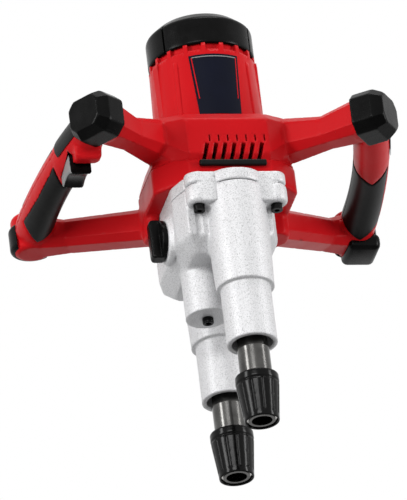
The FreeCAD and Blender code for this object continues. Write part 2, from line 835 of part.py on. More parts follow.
# Red shells
yoke_vents = []
vent_front_y = bridge_y - bridge_half_depth - overrun
vent_mid_z = joint_z + bridge_rise - vent_drop
for k in range(vent_count):
    x = vent_shift + (k - (vent_count - 1) / 2) * vent_pitch
    low = box(x - vent_width / 2, vent_front_y, vent_mid_z - vent_height, x + vent_width / 2, 0, vent_mid_z)
    yoke_vents.append(low.rotated(vec(x, 0, vent_mid_z), vec(0, 1, 0), vent_lean_deg))
    slit_x = x + vent_width / 2
    slit_z = vent_mid_z + vent_slit_width
    yoke_vents.append(box(slit_x, vent_front_y, slit_z, slit_x + vent_slit_width, 0,
                          slit_z + vent_slit_height))
housing_screw_x = skirt_half_width - shoulder_inset - shell_screw_head_radius - shell_screw_edge
housing_screw_places = [(x, y) for x in (-housing_screw_x, housing_screw_x)
                        for y in (shell_screw_front_y, shell_screw_rear_y)]


def make_screw_down(x, y, head_base):
    """Shell screw pointing down from its pan head."""
    return fuse(cyl(shell_screw_head_radius, head_base, head_base + shell_screw_head_height, x, y),
                cyl(shell_screw_radius, head_base - shell_screw_length, head_base, x, y))


shell_head_z = shoulder_z - shell_screw_head_height
barrel_top_z = cap_base_z - barrel_neck_height / 2
neck_top_z = cap_base_z + barrel_neck_height
barrel_neck_radius = motor_barrel_top_radius - barrel_neck_step
motor_barrel_base_radius = motor_barrel_top_radius + motor_barrel_flare
cap_radius = barrel_neck_radius + cap_step


def barrel_skin(grow):
    return cone(motor_barrel_base_radius + grow, motor_barrel_top_radius + grow, shoulder_z, barrel_top_z)


def skirt_plan(inset):
    return chamfered_plan(skirt_half_width - inset, skirt_half_depth - inset, skirt_corner)


def radial_box(radius, proud, width, base, top, angle_deg):
    bar = box(radius - motor_barrel_wall / 2, -width / 2, base, radius + proud, width / 2, top)
    return bar.rotated(vec(0, 0, 0), vec(0, 0, 1), angle_deg)


def make_motor_housing():
    shoulder = loft([
        polygon([vec(x, y, joint_z) for x, y in skirt_plan(0)]),
        polygon([vec(x, y, shoulder_z) for x, y in skirt_plan(shoulder_inset)])])
    teeth = [radial_box(barrel_neck_radius, barrel_neck_step, barrel_tooth_width, barrel_top_z - overrun,
                        cap_base_z, 360.0 * k / barrel_tooth_count) for k in range(barrel_tooth_count)]
    ribs = [radial_box(motor_barrel_top_radius, rib_proud, rib_width, shoulder_z, barrel_top_z, angle)
            for angle in (-rib_angle_deg, 180 + rib_angle_deg)]
    body = fuse(shoulder, barrel_skin(0), cyl(barrel_neck_radius, barrel_top_z, neck_top_z),
                *teeth, *ribs, *fronts, *grips_above)
    cuts = [cyl(bore_radius, cover_top_z, neck_top_z + overrun)] + yoke_vents + pads
    cuts += [trigger_pocket, switch_module, button_pocket, dial_pocket, dial_pin]
    for x, y in housing_screw_places:
        cuts.append(cyl(shell_screw_head_radius + running_fit, shell_head_z, shoulder_z + overrun, x, y))
        cuts.append(cyl(shell_screw_radius, joint_z - overrun, shoulder_z, x, y))
    return largest(body.cut(cuts))


def make_lower_housing():
    skirt = prism(skirt_plan(0), cover_top_z, joint_z)
    ear_plan = [(0, ear_front_y), (skirt_half_width - ear_chamfer, ear_front_y),
                (skirt_half_width, ear_front_y + ear_chamfer),
                (skirt_half_width, skirt_half_depth - skirt_corner),
                (skirt_half_width - skirt_corner, skirt_half_depth), (0, skirt_half_depth)]
    ear = prism(ear_plan, cover_top_z - ear_drop, cover_top_z)
    body = fuse(skirt, *both(ear), *rears, *grips_below, trigger_guard)
    cuts = [prism(casing_plan(body_gap), casing_base_z, cover_top_z),
            cyl(bore_radius, casing_base_z, joint_z + overrun)]
    for y in (front_y, rear_y):
        cuts.append(cyl(barrel_radius + body_gap, casing_base_z, cover_top_z, 0, y))
    for x, y in boss_places:
        cuts.append(cyl(boss_radius + body_gap, casing_base_z, cover_top_z, x, y))
    cuts += pads + [trigger_pocket, switch_module]
    for x, y in housing_screw_places:
        cuts.append(cyl(shell_screw_radius, shell_head_z - shell_screw_length, joint_z + overrun, x, y))
    return largest(body.cut(cuts + fronts))


motor_housing = make_motor_housing()
lower_housing = make_lower_housing()
keep("motor_housing", motor_housing)
keep("lower_housing", lower_housing)
keep("housing_screws", *[make_screw_down(x, y, shell_head_z) for x, y in housing_screw_places])
for name, pad in (("upper", upper_pad), ("lower", lower_pad)):
    keep("right_" + name + "_grip", pad)
    keep("left_" + name + "_grip", largest(mirror(pad).cut(trigger_pocket)))
keep("trigger", make_trigger())
keep("switch_module", switch_module)
keep("lock_button", button)
keep("speed_dial", dial.cut(notches + [dial_bore]))
keep("dial_pin", dial_pin)


# Bumpers
def knuckle_bumper():
    heading = math.radians(bumper_heading_deg)
    way = vec(math.cos(heading), math.sin(heading), 0)
    back = knuckle_half_width / 2
    reach = bumper_depth - back
    stations = [(-back, 1), (reach / 2, 1), (reach, bumper_nose_share)]
    return loft([section(knuckle + way * along, bumper_heading_deg, bumper_half_width * size,
                         bumper_half_height * size) for along, size in stations])


def rear_bumper():
    block = puck(base_x, base_y, grip_end.z - grip_half_height / 4, rear_bumper_radius,
                 rear_bumper_height / 2, rear_bumper_radius / 5)
    setback = rear_bumper_radius * rear_bumper_setback_share
    away = cyl(2 * rear_bumper_radius, 0, cap_top_z, base_x - rear_bumper_radius, base_y - setback)
    return block.cut(away)


for name, block, backing in (("knuckle_bumper", knuckle_bumper(), [knuckle_block, yoke, grip_full]),
                             ("rear_bumper", rear_bumper(), [base_block, rear_arms[0], grip_full])):
    bumper = largest(block.cut(backing))
    keep("right_" + name, bumper)
    keep("left_" + name, mirror(bumper))


# Cap
def make_cap():
    def profile(inset):
        top = cap_top_z - inset
        points = [(0, cap_base_z), (cap_radius - inset, cap_base_z),
                  (cap_radius - inset, cap_base_z + cap_shoulder_height),
                  (cap_slope_radius - inset, top - cap_disc_height),
                  (cap_disc_radius - inset, top - cap_disc_height),
                  (cap_disc_radius - inset, top), (0, top)]
        return Part.Face(polygon([vec(r, 0, z) for r, z in points])).revolve(vec(0, 0, 0), vec(0, 0, 1), 360)
    shell = profile(0)
    grooves = [radial_box(cap_radius, overrun, cap_groove_width, cap_base_z - overrun, cap_top_z, angle).cut(
        cyl(cap_radius - cap_groove_depth, 0, cap_top_z)) for angle in cap_groove_angles_deg]
    shell = shell.cut([profile(cap_wall)] + grooves)
    return fuse(shell, tube(cap_radius - cap_wall, barrel_neck_radius + running_fit, cap_base_z,
                            cap_base_z + barrel_neck_height))


keep("motor_cap", make_cap())


# Bare label plate on the barrel's front
def make_label():
    top_z = barrel_top_z - label_top_gap / 2
    corners = [(-label_base_width / 2, top_z - label_height), (label_base_width / 2, top_z - label_height),
               (label_top_width / 2, top_z), (-label_top_width / 2, top_z)]
    outline = Part.Face(polygon([vec(x, 0, z) for x, z in corners]))
    wedge = outline.extrude(vec(0, -2 * motor_barrel_base_radius, 0))
    return barrel_skin(label_bond + label_thickness).cut(barrel_skin(label_bond)).common(wedge)


keep("label_plate", make_label())

# Motor
fan_z = motor_hub_z + fan_clear
stator_z = fan_z + fan_height + fan_clear + lower_coil_height
stator_top_z = stator_z + stator_height
commutator_z = stator_top_z + coil_height + commutator_gap
bracket_z = commutator_z + commutator_height + body_gap
bracket_top_z = bracket_z + bracket_thickness
upper_seat_z = bracket_z + motor_bearing_width
pinion_z = first_gear_z - gear_step / 2
pinion_top_z = first_top_z + gear_step / 2
stator_bore = bore_radius * stator_bore_share
coil_radius = bore_radius * coil_radius_share
fan_radius = bore_radius * fan_radius_share
core_radius = stator_bore - air_gap
slot = box(core_radius - core_slot_depth, -core_slot_width / 2, stator_z, core_radius + overrun,
           core_slot_width / 2, stator_top_z)
core = tube(core_radius, shaft_radius, stator_z, stator_top_z)
blade = box(fan_hub_radius - overrun, -fan_blade_thickness / 2, fan_z, fan_radius, fan_blade_thickness / 2,
            fan_z + fan_height)
keep("armature_shaft", fuse(
    gear(motor_pinion_teeth, first_module, pinion_z, pinion_top_z - pinion_z, 0, 0, motor_phase, 0),
    cyl(shaft_radius, pinion_top_z, upper_seat_z - body_gap)))
keep("armature_core", core.cut(ring_of(slot, flute_count)))
keep("commutator", tube(commutator_radius, shaft_radius, commutator_z, commutator_z + commutator_height))
keep("cooling_fan", fuse(
    tube(fan_hub_radius, shaft_radius, fan_z, fan_z + fan_height),
    tube(fan_radius, fan_hub_radius - overrun, fan_z, fan_z + fan_blade_thickness),
    *ring_of(blade, fan_blades)))
keep("stator", tube(bore_radius, stator_bore, stator_z, stator_top_z))
keep("field_coils",
     tube(coil_radius, stator_bore + holder_wall, stator_z - lower_coil_height, stator_z),
     tube(coil_radius, stator_bore + holder_wall, stator_top_z, stator_top_z + coil_height))
keep("motor_bearings",
     make_bearing(motor_bearing_radius, shaft_radius, motor_bearing_z, motor_bearing_width, 0, 0),
     make_bearing(motor_bearing_radius, shaft_radius, bracket_z, motor_bearing_width, 0, 0))
bracket = fuse(cyl(bore_radius, bracket_z, bracket_top_z),
               cyl(motor_bearing_radius + holder_wall, bracket_z, upper_seat_z + holder_wall))
keep("bearing_bracket", bracket.cut(cyl(motor_bearing_radius, bracket_z - overrun, upper_seat_z)))
brush_z = bracket_z - brush_height - holder_wall
brush_start = commutator_radius + body_gap
holder_end = bore_radius - holder_clear
brush = box(brush_start, -brush_width / 2, brush_z, brush_start + brush_length, brush_width / 2,
            brush_z + brush_height)
holder = box(brush_start + holder_wall, -brush_width / 2 - holder_wall, brush_z - holder_wall,
             holder_end, brush_width / 2 + holder_wall, bracket_z).cut(
    box(brush_start, -brush_width / 2, brush_z, holder_end - holder_wall, brush_width / 2,
        brush_z + brush_height))
keep("carbon_brushes", brush, mirror(brush))
keep("brush_holders", holder, mirror(holder))

# Cable inlet on the rear of the trigger handle
def cross_y(radius, y0, y1):
    return Part.makeCylinder(radius, y1 - y0, vec(-base_x, y0, grip_end.z), vec(0, 1, 0))


gland_end_y = base_y + base_half + gland_length
gland = cross_y(gland_radius, base_y, gland_end_y)
gland = gland.cut(cross_y(gland_bore, base_y + base_half / 2, gland_end_y + overrun))
keep("cable_gland", largest(gland.cut(lower_housing).cut(nodes["left_rear_bumper"])))

for name, shape in nodes.items():
    shape.exportStep("parts/" + name + ".step")
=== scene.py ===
import json
import math
import bmesh
import bpy
from mathutils import Matrix, Vector
from mathutils.kdtree import KDTree

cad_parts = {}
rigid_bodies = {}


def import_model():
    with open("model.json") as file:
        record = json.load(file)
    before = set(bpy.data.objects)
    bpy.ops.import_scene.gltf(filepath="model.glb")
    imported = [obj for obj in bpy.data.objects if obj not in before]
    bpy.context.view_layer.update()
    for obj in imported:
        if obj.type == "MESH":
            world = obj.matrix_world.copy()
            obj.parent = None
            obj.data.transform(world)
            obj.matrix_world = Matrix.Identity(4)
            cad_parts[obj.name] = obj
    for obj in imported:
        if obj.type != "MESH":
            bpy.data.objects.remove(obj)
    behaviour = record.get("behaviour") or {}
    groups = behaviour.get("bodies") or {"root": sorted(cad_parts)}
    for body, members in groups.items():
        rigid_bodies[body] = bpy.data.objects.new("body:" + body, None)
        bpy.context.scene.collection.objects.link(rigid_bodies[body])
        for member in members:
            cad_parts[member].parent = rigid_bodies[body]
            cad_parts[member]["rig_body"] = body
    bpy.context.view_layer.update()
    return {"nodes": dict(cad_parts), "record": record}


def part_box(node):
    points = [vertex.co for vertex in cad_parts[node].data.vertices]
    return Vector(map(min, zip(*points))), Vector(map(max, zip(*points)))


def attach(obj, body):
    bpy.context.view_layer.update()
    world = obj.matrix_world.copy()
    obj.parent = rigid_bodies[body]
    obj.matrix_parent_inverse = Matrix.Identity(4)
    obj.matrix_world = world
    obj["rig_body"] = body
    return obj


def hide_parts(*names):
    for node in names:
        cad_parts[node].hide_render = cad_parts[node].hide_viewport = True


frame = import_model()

# Lengths are in metres. The part's front faces -y, and its left handle is on the -x side.
nodes = frame["nodes"]
scene = bpy.context.scene
scene.view_settings.view_transform = "Standard"

# Photograph's frame and viewing angle
IMAGE_WIDTH = 407
IMAGE_HEIGHT = 500
PIXELS_PER_METRE = 1036.4
CAMERA_DISTANCE = 14.0
VIEW_RIGHT = Vector((0.9739, -0.1981, -0.1107)).normalized()
VIEW_UP = Vector((0.0069, -0.4615, 0.8871)).normalized()
CAP_RIM_PIXEL = (201.77, 67.31)
SENSOR = 36.0


def add_camera():
    """Long lens, below and to the left of the front, aimed so that the cap rim keeps its place."""
    back = VIEW_RIGHT.cross(VIEW_UP)
    cap_rim = Vector((0, 0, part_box("motor_cap")[0].z))
    across = (IMAGE_WIDTH / 2 - CAP_RIM_PIXEL[0]) / PIXELS_PER_METRE
    down = (IMAGE_HEIGHT / 2 - CAP_RIM_PIXEL[1]) / PIXELS_PER_METRE
    aim = cap_rim + VIEW_RIGHT * across - VIEW_UP * down
    data = bpy.data.cameras.new("photo_camera")
    data.sensor_width = SENSOR
    data.lens = SENSOR * CAMERA_DISTANCE * PIXELS_PER_METRE / IMAGE_HEIGHT
    camera = bpy.data.objects.new("photo_camera", data)
    scene.collection.objects.link(camera)
    camera.matrix_world = Matrix((
        (VIEW_RIGHT.x, VIEW_UP.x, back.x, aim.x + back.x * CAMERA_DISTANCE),
        (VIEW_RIGHT.y, VIEW_UP.y, back.y, aim.y + back.y * CAMERA_DISTANCE),
        (VIEW_RIGHT.z, VIEW_UP.z, back.z, aim.z + back.z * CAMERA_DISTANCE),
        (0, 0, 0, 1)))
    scene.camera = camera
    return aim, back


aim_point, view_back = add_camera()


# Studio
WHITE = (1, 1, 1, 1)
SEEN_STRENGTH = 1.0
LIGHT_STRENGTH = 0.3
FLOOR_SIDES = 64
FLOOR_RADIUS = 4.6
FLOOR_HEIGHT = -2.6
FLOOR_LIFT = 0.45


def new_object(name, bm):
    """Object at the origin, with the finished mesh in it."""
    mesh = bpy.data.meshes.new(name)
    bm.to_mesh(mesh)
    bm.free()
    obj = bpy.data.objects.new(name, mesh)
    scene.collection.objects.link(obj)
    return obj


def add_lamp(name, side, up, towards, size, power):
    """Area lamp placed from the aim point along the view's own directions."""
    data = bpy.data.lights.new(name, "AREA")
    data.shape = "RECTANGLE"
    data.size, data.size_y = size
    data.energy = power
    lamp = bpy.data.objects.new(name, data)
    scene.collection.objects.link(lamp)
    place = aim_point + VIEW_RIGHT * side + VIEW_UP * up + view_back * towards
    lamp.location = place
    lamp.rotation_mode = "QUATERNION"
    lamp.rotation_quaternion = (aim_point - place).to_track_quat("-Z", "Y")


def white_background(tree, strength):
    node = tree.nodes.new("ShaderNodeBackground")
    node.inputs["Color"].default_value = WHITE
    node.inputs["Strength"].default_value = strength
    return node.outputs["Background"]


def add_world():
    """White to the camera, in reflections and through glass, and a dim even light on the part."""
    world = bpy.data.worlds.new("white_studio")
    world.use_nodes = True
    scene.world = world
    tree = world.node_tree
    tree.nodes.clear()
    path = tree.nodes.new("ShaderNodeLightPath")
    seen_share = path.outputs["Is Camera Ray"]
    for ray in ("Is Glossy Ray", "Is Transmission Ray"):
        either = tree.nodes.new("ShaderNodeMath")
        either.operation = "MAXIMUM"
        tree.links.new(seen_share, either.inputs[0])
        tree.links.new(path.outputs[ray], either.inputs[1])
        seen_share = either.outputs["Value"]
    mix = tree.nodes.new("ShaderNodeMixShader")
    tree.links.new(seen_share, mix.inputs["Fac"])
    tree.links.new(white_background(tree, LIGHT_STRENGTH), mix.inputs[1])
    tree.links.new(white_background(tree, SEEN_STRENGTH), mix.inputs[2])
    output = tree.nodes.new("ShaderNodeOutputWorld")
    tree.links.new(mix.outputs["Shader"], output.inputs["Surface"])


def add_floor():
    bm = bmesh.new()
    bmesh.ops.create_circle(bm, cap_ends=True, segments=FLOOR_SIDES, radius=FLOOR_RADIUS)
    bmesh.ops.translate(bm, verts=bm.verts, vec=(0, 0, FLOOR_HEIGHT))
    floor = new_object("studio_floor", bm)
    floor.data.materials.append(plain_floor())


def add_studio():
    add_lamp("left_softbox", side=-1.5, up=0.5, towards=1.0, size=(0.4, 1.3), power=23)
    add_lamp("right_softbox", side=1.6, up=0.4, towards=0.5, size=(0.35, 1.3), power=19)
    add_lamp("front_softbox", side=-0.4, up=1.2, towards=1.6, size=(0.8, 0.4), power=12)
    add_lamp("top_softbox", side=0.2, up=1.8, towards=-0.2, size=(1.0, 0.5), power=12)
    add_world()
    add_floor()


# Finishes
def new_material(name, colour, roughness, metallic=0.0, specular=0.5):
    """Principled material and the pieces of its tree that a finish builds on."""
    material = bpy.data.materials.new(name)
    material.use_nodes = True
    tree = material.node_tree
    shader = tree.nodes["Principled BSDF"]
    shader.inputs["Base Color"].default_value = (*colour, 1)
    shader.inputs["Roughness"].default_value = roughness
    shader.inputs["Metallic"].default_value = metallic
    shader.inputs["Specular IOR Level"].default_value = specular
    return material, tree, shader


def object_coordinates(tree):
    return tree.nodes.new("ShaderNodeTexCoord").outputs["Object"]


def noise(tree, scale, detail=2.0, rough=0.5):
    node = tree.nodes.new("ShaderNodeTexNoise")
    node.inputs["Scale"].default_value = scale
    node.inputs["Detail"].default_value = detail
    node.inputs["Roughness"].default_value = rough
    tree.links.new(object_coordinates(tree), node.inputs["Vector"])
    return node.outputs["Fac"]


def cells(tree, scale):
    node = tree.nodes.new("ShaderNodeTexVoronoi")
    node.inputs["Scale"].default_value = scale
    tree.links.new(object_coordinates(tree), node.inputs["Vector"])
    return node.outputs["Distance"]


def level_bands(tree, scale, distortion=0.0):
    """Bands stacked along z, as turning rings, core sheets and windings lie."""
    node = tree.nodes.new("ShaderNodeTexWave")
    node.bands_direction = "Z"
    node.inputs["Scale"].default_value = scale
    node.inputs["Distortion"].default_value = distortion
    tree.links.new(object_coordinates(tree), node.inputs["Vector"])
    return node.outputs["Fac"]


def grey(value):
    return (value, value, value)


def vary(tree, socket, pattern, *stops):
    """Drives a shader socket from a pattern, through a ramp of (position, colour) stops."""
    node = tree.nodes.new("ShaderNodeValToRGB")
    bands = node.color_ramp.elements
    while len(bands) < len(stops):
        bands.new(0.5)
    for band, (position, colour) in zip(bands, stops):
        band.position = position
        band.color = (*colour, 1)
    tree.links.new(pattern, node.inputs["Fac"])
    tree.links.new(node.outputs["Color"], socket)


def bump(tree, shader, height, strength, distance):
    node = tree.nodes.new("ShaderNodeBump")
    node.inputs["Strength"].default_value = strength
    node.inputs["Distance"].default_value = distance
    tree.links.new(height, node.inputs["Height"])
    tree.links.new(node.outputs["Normal"], shader.inputs["Normal"])


def plain_floor():
    """Pale floor, which the camera sees a little lighter than the lamps make it."""
    material, tree, shader = new_material("pale_floor", grey(0.86), roughness=0.7)
    vary(tree, shader.inputs["Base Color"], noise(tree, scale=3.0),
         (0.0, grey(0.84)), (1.0, grey(0.88)))
    path = tree.nodes.new("ShaderNodeLightPath")
    shader.inputs["Emission Color"].default_value = WHITE
    lift = tree.nodes.new("ShaderNodeMath")
    lift.operation = "MULTIPLY"
    lift.inputs[1].default_value = FLOOR_LIFT
    tree.links.new(path.outputs["Is Camera Ray"], lift.inputs[0])
    tree.links.new(lift.outputs["Value"], shader.inputs["Emission Strength"])
    return material


def red_plastic():
    material, tree, shader = new_material(
        "red_moulded_plastic", (0.49, 0.007, 0.01), roughness=0.4, specular=0.12)
    vary(tree, shader.inputs["Base Color"], noise(tree, scale=14.0),
         (0.3, (0.47, 0.0065, 0.0095)), (0.7, (0.51, 0.0075, 0.011)))
    vary(tree, shader.inputs["Roughness"], noise(tree, scale=60.0, detail=4.0),
         (0.3, grey(0.3)), (0.7, grey(0.4)))
    shader.inputs["Specular Tint"].default_value = (1, 0.4, 0.4, 1)
    bump(tree, shader, noise(tree, scale=2400.0), strength=0.05, distance=0.0002)
    return material


def black_plastic():
    material, tree, shader = new_material(
        "black_satin_plastic", grey(0.0015), roughness=0.3, specular=0.08)
    vary(tree, shader.inputs["Base Color"], noise(tree, scale=45.0, detail=4.0),
         (0.35, grey(0.001)), (0.7, grey(0.0025)))
    vary(tree, shader.inputs["Roughness"], noise(tree, scale=90.0, detail=4.0),
         (0.3, grey(0.2)), (0.7, grey(0.32)))
    bump(tree, shader, noise(tree, scale=1700.0), strength=0.08, distance=0.0002)
    return material


def soft_grip():
    material, tree, shader = new_material(
        "soft_overmould", grey(0.003), roughness=0.4, specular=0.1)
    vary(tree, shader.inputs["Base Color"], noise(tree, scale=70.0, detail=6.0, rough=0.65),
         (0.35, grey(0.002)), (0.7, grey(0.006)))
    bump(tree, shader, cells(tree, scale=900.0), strength=0.2, distance=0.0003)
    return material


def hammered_silver():
    """Pale silver paint over a casting, with fine dark flecks."""
    material, tree, shader = new_material(
        "hammered_silver_paint", grey(0.6), roughness=0.4, metallic=0.2, specular=0.4)
    fleck, paint, glint = (0.3, 0.3, 0.305), (0.62, 0.62, 0.63), (0.68, 0.68, 0.69)
    vary(tree, shader.inputs["Base Color"], noise(tree, scale=1150.0, detail=2.0, rough=0.6),
         (0.34, fleck), (0.46, paint), (0.75, glint))
    vary(tree, shader.inputs["Roughness"], noise(tree, scale=380.0, detail=2.0),
         (0.3, grey(0.44)), (0.7, grey(0.56)))
    bump(tree, shader, noise(tree, scale=700.0, detail=3.0), strength=0.25, distance=0.0005)
    return material


def black_oxide():
    material, tree, shader = new_material(
        "black_oxide_steel", grey(0.0015), roughness=0.16, specular=0.12)
    vary(tree, shader.inputs["Base Color"], noise(tree, scale=120.0, detail=5.0),
         (0.35, grey(0.001)), (0.7, grey(0.0025)))
    bump(tree, shader, noise(tree, scale=1500.0), strength=0.04, distance=0.0002)
    return material


def turned_steel(name, light, dark):
    """Machined steel with fine turning rings."""
    material, tree, shader = new_material(name, light, roughness=0.28, metallic=1.0)
    vary(tree, shader.inputs["Roughness"], level_bands(tree, scale=260.0, distortion=1.5),
         (0.0, grey(0.16)), (1.0, grey(0.28)))
    vary(tree, shader.inputs["Base Color"], noise(tree, scale=80.0, detail=4.0),
         (0.3, dark), (0.7, light))
    return material


def ground_steel():
    return turned_steel("ground_steel", light=(0.6, 0.59, 0.57), dark=(0.5, 0.49, 0.47))


def spindle_steel_dimmed_reflections():
    """Steel of the spindles, its base colour dimmed far below bare steel: painted shade that stands
    in for the dark reflections on the necks.
    """
    return turned_steel(
        "spindle_steel_painted_dark_reflections", light=(0.11, 0.108, 0.104), dark=(0.06, 0.059, 0.057))


def laminated_iron():
    material, tree, shader = new_material(
        "laminated_core_iron", grey(0.16), roughness=0.5, metallic=0.8)
    vary(tree, shader.inputs["Base Color"], level_bands(tree, scale=300.0),
         (0.0, grey(0.1)), (1.0, grey(0.24)))
    return material


def winding_copper():
    material, tree, shader = new_material(
        "winding_copper", (0.5, 0.2, 0.08), roughness=0.35, metallic=1.0)
    wires = level_bands(tree, scale=240.0, distortion=3.0)
    vary(tree, shader.inputs["Base Color"], wires,
         (0.0, (0.3, 0.11, 0.04)), (1.0, (0.58, 0.25, 0.1)))
    bump(tree, shader, wires, strength=0.4, distance=0.0004)
    return material


def label_film():
    material, tree, shader = new_material(
        "bare_label_panel", (0.002, 0.003, 0.009), roughness=0.35, specular=0.08)
    vary(tree, shader.inputs["Base Color"], noise(tree, scale=40.0),
         (0.3, (0.0018, 0.0026, 0.008)), (0.7, (0.0024, 0.0034, 0.0105)))
    return material


def grey_plastic():
    material, tree, shader = new_material(
        "grey_satin_plastic", grey(0.2), roughness=0.4, specular=0.3)
    vary(tree, shader.inputs["Base Color"], noise(tree, scale=60.0, detail=3.0),
         (0.3, grey(0.17)), (0.7, grey(0.22)))
    bump(tree, shader, noise(tree, scale=1900.0), strength=0.06, distance=0.0002)
    return material


FINISH_OF_SLOT = {
    "red_plastic": red_plastic(),
    "soft_grip": soft_grip(),
    "black_plastic": black_plastic(),
    "black_oxide_steel": black_oxide(),
    "ground_steel": ground_steel(),
    "cast_aluminium": hammered_silver(),
    "core_iron": laminated_iron(),
    "winding_copper": winding_copper(),
    "seal_rubber": soft_grip(),
    "brush_carbon": black_plastic(),
    "bracket_aluminium": ground_steel(),
    "label_film": label_film(),
}
SLOT_OF_NODE = {part["node"]: part["material_slot"] for part in frame["record"]["subparts"]}
for node_name, slot_name in SLOT_OF_NODE.items():
    slots = nodes[node_name].data.materials
    slots.clear()
    slots.append(FINISH_OF_SLOT[slot_name])


# Eased copies of the CAD pieces
MERGE_DISTANCE = 0.000001
SPLIT_ROUNDS = 7
NEAR_GRAINS = 2.0
EASED_RINGS = 2
EASING_FACTOR = 0.5
SHARP_EDGE = math.radians(24)
CREASE = math.radians(40)


def sharp_places(bm, grain, hidden):
    """Points along the edges to be eased, a grain apart, to look up what lies near them."""
    places = []
    for edge in bm.edges:
        if edge.calc_face_angle(0.0) > SHARP_EDGE:
            start, end = (vert.co for vert in edge.verts)
            if hidden and hidden(start) and hidden(end):
                continue
            steps = max(1, math.ceil(edge.calc_length() / grain))
            places += [start.lerp(end, step / steps) for step in range(steps + 1)]
    tree = KDTree(len(places))
    for number, place in enumerate(places):
        tree.insert(place, number)
    tree.balance()
    return tree


def fine_copy(name, grain, hidden=None):
    """Copy of a CAD piece, its edges cut towards the grain's length near those to be eased."""
    bm = bmesh.new()
    bm.from_mesh(nodes[name].data)
    bmesh.ops.remove_doubles(bm, verts=bm.verts, dist=MERGE_DISTANCE)
    places = sharp_places(bm, grain, hidden)
    for _ in range(SPLIT_ROUNDS):
        long_edges = []
        for edge in bm.edges:
            length = edge.calc_length()
            if length > grain:
                middle = (edge.verts[0].co + edge.verts[1].co) / 2
                if places.find(middle)[2] < NEAR_GRAINS * grain + length / 2:
                    long_edges.append(edge)
        if not long_edges:
            break
        bmesh.ops.subdivide_edges(bm, edges=long_edges, cuts=1)
        bmesh.ops.triangulate(bm, faces=[face for face in bm.faces if len(face.verts) > 3])
    return bm


def ease_edges(bm, passes, left_alone=()):
    """Rounds the sharp edges by evening out the points on and beside them."""
    near = {vert for edge in bm.edges if edge.calc_face_angle(0.0) > SHARP_EDGE
            for vert in edge.verts}
    for _ in range(EASED_RINGS):
        near |= {edge.other_vert(vert) for vert in near for edge in vert.link_edges}
    moving = [vert for vert in near if not any(test(vert.co) for test in left_alone)]
    for _ in range(passes):
        bmesh.ops.smooth_vert(bm, verts=moving, factor=EASING_FACTOR,
                              use_axis_x=True, use_axis_y=True, use_axis_z=True)


def smooth_piece(name, bm, finish):
    """Object with one finish, smooth but for its creases."""
    piece = new_object(name, bm)
    piece.data.shade_smooth()
    piece.data.set_sharp_from_angle(angle=CREASE)
    piece.data.materials.append(finish)
    return piece


def show_instead(name, bm):
    """Shows a reworked copy in place of its CAD piece, on the same body."""
    piece = smooth_piece(name + "_shown", bm, FINISH_OF_SLOT[SLOT_OF_NODE[name]])
    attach(piece, nodes[name]["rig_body"])
    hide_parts(name)
    return piece


def show_eased(name, grain, passes, crisp=None, hidden=None):
    """Shows a CAD piece with eased edges, but for those that stay crisp and those hidden inside."""
    bm = fine_copy(name, grain, hidden)
    ease_edges(bm, passes, [test for test in (crisp, hidden) if test])
    show_instead(name, bm)


VENT_HALF_WIDTH = 0.05
VENT_FRONT, VENT_BACK = -0.08, -0.03
VENT_FOOT, VENT_HEAD = 0.276, 0.308
BARREL_TEETH_FOOT = 0.398
BARREL_INSIDE_RADIUS = 0.0465
TUBE_STEP_HEIGHT = 0.142
TUBE_STEP_REACH = 0.0025
TUBE_LIP_HEAD = 0.086
SPINDLE_OFFSET = 0.06
BORE_RADIUS = 0.0235
BORE_FOOT = 0.09
GEAR_ROOM_LEFT, GEAR_ROOM_RIGHT = -0.05, 0.035
GEAR_ROOM_HALF_DEPTH = 0.035
GEAR_ROOM_FOOT = 0.19
TRIGGER_X, TRIGGER_Y = -0.1466, -0.0413
TRIGGER_POCKET_HALF_WIDTH = 0.0135
TRIGGER_POCKET_HALF_LENGTH = 0.0225


def at_vents_or_teeth(point):
    """Vent slots of the bridge, and the teeth around the top of the barrel."""
    at_vents = (abs(point.x) < VENT_HALF_WIDTH and VENT_FRONT < point.y < VENT_BACK
                and VENT_FOOT < point.z < VENT_HEAD)
    return at_vents or point.z > BARREL_TEETH_FOOT


def inside_barrel(point):
    return math.hypot(point.x, point.y) < BARREL_INSIDE_RADIUS


def at_tube_lips(point):
    """Step and lower lip of the spindle tubes."""
    return abs(point.z - TUBE_STEP_HEIGHT) < TUBE_STEP_REACH or point.z < TUBE_LIP_HEAD


def inside_gearbox(point):
    """Bores of the spindle tubes, and the room for the gears between them."""
    off_spindle = math.hypot(point.x, abs(point.y) - SPINDLE_OFFSET)
    in_bore = off_spindle < BORE_RADIUS and point.z > BORE_FOOT
    in_middle = (GEAR_ROOM_LEFT < point.x < GEAR_ROOM_RIGHT
                 and abs(point.y) < GEAR_ROOM_HALF_DEPTH and point.z > GEAR_ROOM_FOOT)
    return in_bore or in_middle


def at_trigger_pocket(point):
    """Walls of the trigger's pocket, which keep their running clearance."""
    return (abs(point.x - TRIGGER_X) < TRIGGER_POCKET_HALF_WIDTH
            and abs(point.y - TRIGGER_Y) < TRIGGER_POCKET_HALF_LENGTH)


show_eased("motor_housing", grain=0.0038, passes=4, crisp=at_vents_or_teeth, hidden=inside_barrel)
show_eased("lower_housing", grain=0.0034, passes=4, crisp=at_trigger_pocket)
show_eased("gearbox_casing", grain=0.0028, passes=5, crisp=at_tube_lips, hidden=inside_gearbox)
show_eased("gearbox_cover", grain=0.0026, passes=3)
for side in ("left", "right"):
    show_eased(side + "_knuckle_bumper", grain=0.002, passes=4)
    show_eased(side + "_upper_grip", grain=0.002, passes=2)
    show_eased(side + "_lower_grip", grain=0.002, passes=2)
show_eased("left_rear_bumper", grain=0.002, passes=4)
# Spindle finish with painted shade: its dimmed colour stands in for dark reflections on the necks.
spindle_finish = spindle_steel_dimmed_reflections()
for end in ("front", "rear"):
    show_eased(end + "_chuck_sleeve", grain=0.0018, passes=2)
    nodes[end + "_spindle"].data.materials[0] = spindle_finish
show_eased("selector_knob", grain=0.0014, passes=3)
show_eased("grease_plug", grain=0.0012, passes=2)


